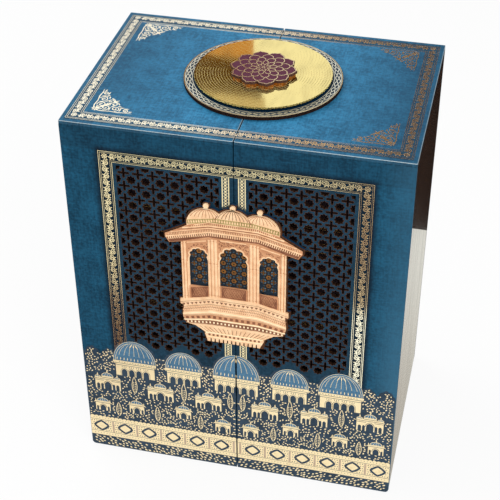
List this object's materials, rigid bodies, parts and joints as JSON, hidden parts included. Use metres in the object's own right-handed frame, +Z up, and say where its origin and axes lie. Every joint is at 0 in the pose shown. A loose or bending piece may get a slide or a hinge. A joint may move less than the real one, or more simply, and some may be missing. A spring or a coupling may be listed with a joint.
{
  "type": "sweet box",
  "caption": "Cabinet-like sweet box: hinged half shells with a pierced front, a balcony in relief and a round medallion enclose a chest of divided drawers.",
  "frame": {"origin": "middle of the footprint, on the surface that the box stands on", "axes": "+X to the right seen from the front, +Y from the pierced front to the hinged back, +Z up"},
  "size_m": [0.25, 0.1776, 0.327],
  "materials": {
    "blue_board": "painted board with a woven texture, satin",
    "dark_veneer": "dark brown veneer, high gloss",
    "core_board": "dark blue covered board, satin",
    "drawer_paper": "plum covering paper with gilt lines, satin",
    "tray_board": "gilt card, satin",
    "brass": "polished brass",
    "magnet_steel": "nickel plated",
    "mounting_tape": "foam tape, matt",
    "felt": "wool felt, matt",
    "gilt_mirror": "gold mirror with an engraved pattern",
    "purple_acrylic": "purple with gilt lines, gloss",
    "amber_acrylic": "amber, gloss",
    "carved_board": "sandstone coloured, matt"
  },
  "bodies": {
    "core": {"base_felt": "felt", "base_board": "core_board", "outer_back_panel": "blue_board", "chest_back_board": "core_board", "chest_top_board": "core_board", "chest_left_side": "core_board", "chest_right_side": "core_board", "chest_shelf_1": "core_board", "chest_shelf_2": "core_board", "chest_shelf_3": "core_board", "left_hinge_back_leaves": "brass", "right_hinge_back_leaves": "brass", "left_hinge_pins": "brass", "right_hinge_pins": "brass"},
    "left_shell": {"left_front_panel": "blue_board", "left_side_panel": "dark_veneer", "left_top_panel": "blue_board", "left_back_strip": "blue_board", "left_meeting_stile": "blue_board", "left_magnets": "magnet_steel", "left_hinge_shell_leaves": "brass", "medallion_tape": "mounting_tape", "medallion_base": "blue_board", "medallion_spacer": "core_board", "medallion_gilt_plate": "gilt_mirror", "rosette_lower_layer": "amber_acrylic", "rosette_upper_layer": "purple_acrylic", "balcony_tape": "mounting_tape", "balcony_plate": "blue_board", "balcony_corbel": "carved_board", "balcony_parapet": "carved_board", "balcony_arcade": "carved_board", "balcony_eave": "carved_board", "balcony_domes": "carved_board"},
    "right_shell": {"right_front_panel": "blue_board", "right_side_panel": "dark_veneer", "right_top_panel": "blue_board", "right_back_strip": "blue_board", "right_meeting_stile": "blue_board", "right_magnets": "magnet_steel", "right_hinge_shell_leaves": "brass"},
    "drawer_1": {"drawer_1_tray": "tray_board", "drawer_1_front": "drawer_paper", "drawer_1_knob": "brass", "drawer_1_dividers": "tray_board"},
    "drawer_2": {"drawer_2_tray": "tray_board", "drawer_2_front": "drawer_paper", "drawer_2_knob": "brass", "drawer_2_dividers": "tray_board"},
    "drawer_3": {"drawer_3_tray": "tray_board", "drawer_3_front": "drawer_paper", "drawer_3_knob": "brass", "drawer_3_dividers": "tray_board"},
    "drawer_4": {"drawer_4_tray": "tray_board", "drawer_4_front": "drawer_paper", "drawer_4_knob": "brass", "drawer_4_dividers": "tray_board"}
  },
  "joints": [
    {"name": "left_shell_hinge", "type": "hinge", "parent": "core", "child": "left_shell", "pos_m": [-0.1, 0.0868, 0.157], "axis": [0, 0, -1], "range_deg": [0, 120]},
    {"name": "right_shell_hinge", "type": "hinge", "parent": "core", "child": "right_shell", "pos_m": [0.1, 0.0868, 0.157], "axis": [0, 0, 1], "range_deg": [0, 120]},
    {"name": "drawer_1_slide", "type": "slide", "parent": "core", "child": "drawer_1", "axis": [0, -1, 0], "range_m": [0, 0.051]},
    {"name": "drawer_2_slide", "type": "slide", "parent": "core", "child": "drawer_2", "axis": [0, -1, 0], "range_m": [0, 0.068]},
    {"name": "drawer_3_slide", "type": "slide", "parent": "core", "child": "drawer_3", "axis": [0, -1, 0], "range_m": [0, 0.084]},
    {"name": "drawer_4_slide", "type": "slide", "parent": "core", "child": "drawer_4", "axis": [0, -1, 0], "range_m": [0, 0.101]}
  ],
  "couplings": [
    {"joint": "right_shell_hinge", "follows": "left_shell_hinge", "ratio": 1},
    {"joint": "drawer_1_slide", "follows": "left_shell_hinge", "m_per_rad": 0.024},
    {"joint": "drawer_2_slide", "follows": "left_shell_hinge", "m_per_rad": 0.032},
    {"joint": "drawer_3_slide", "follows": "left_shell_hinge", "m_per_rad": 0.04},
    {"joint": "drawer_4_slide", "follows": "left_shell_hinge", "m_per_rad": 0.048}
  ]
}
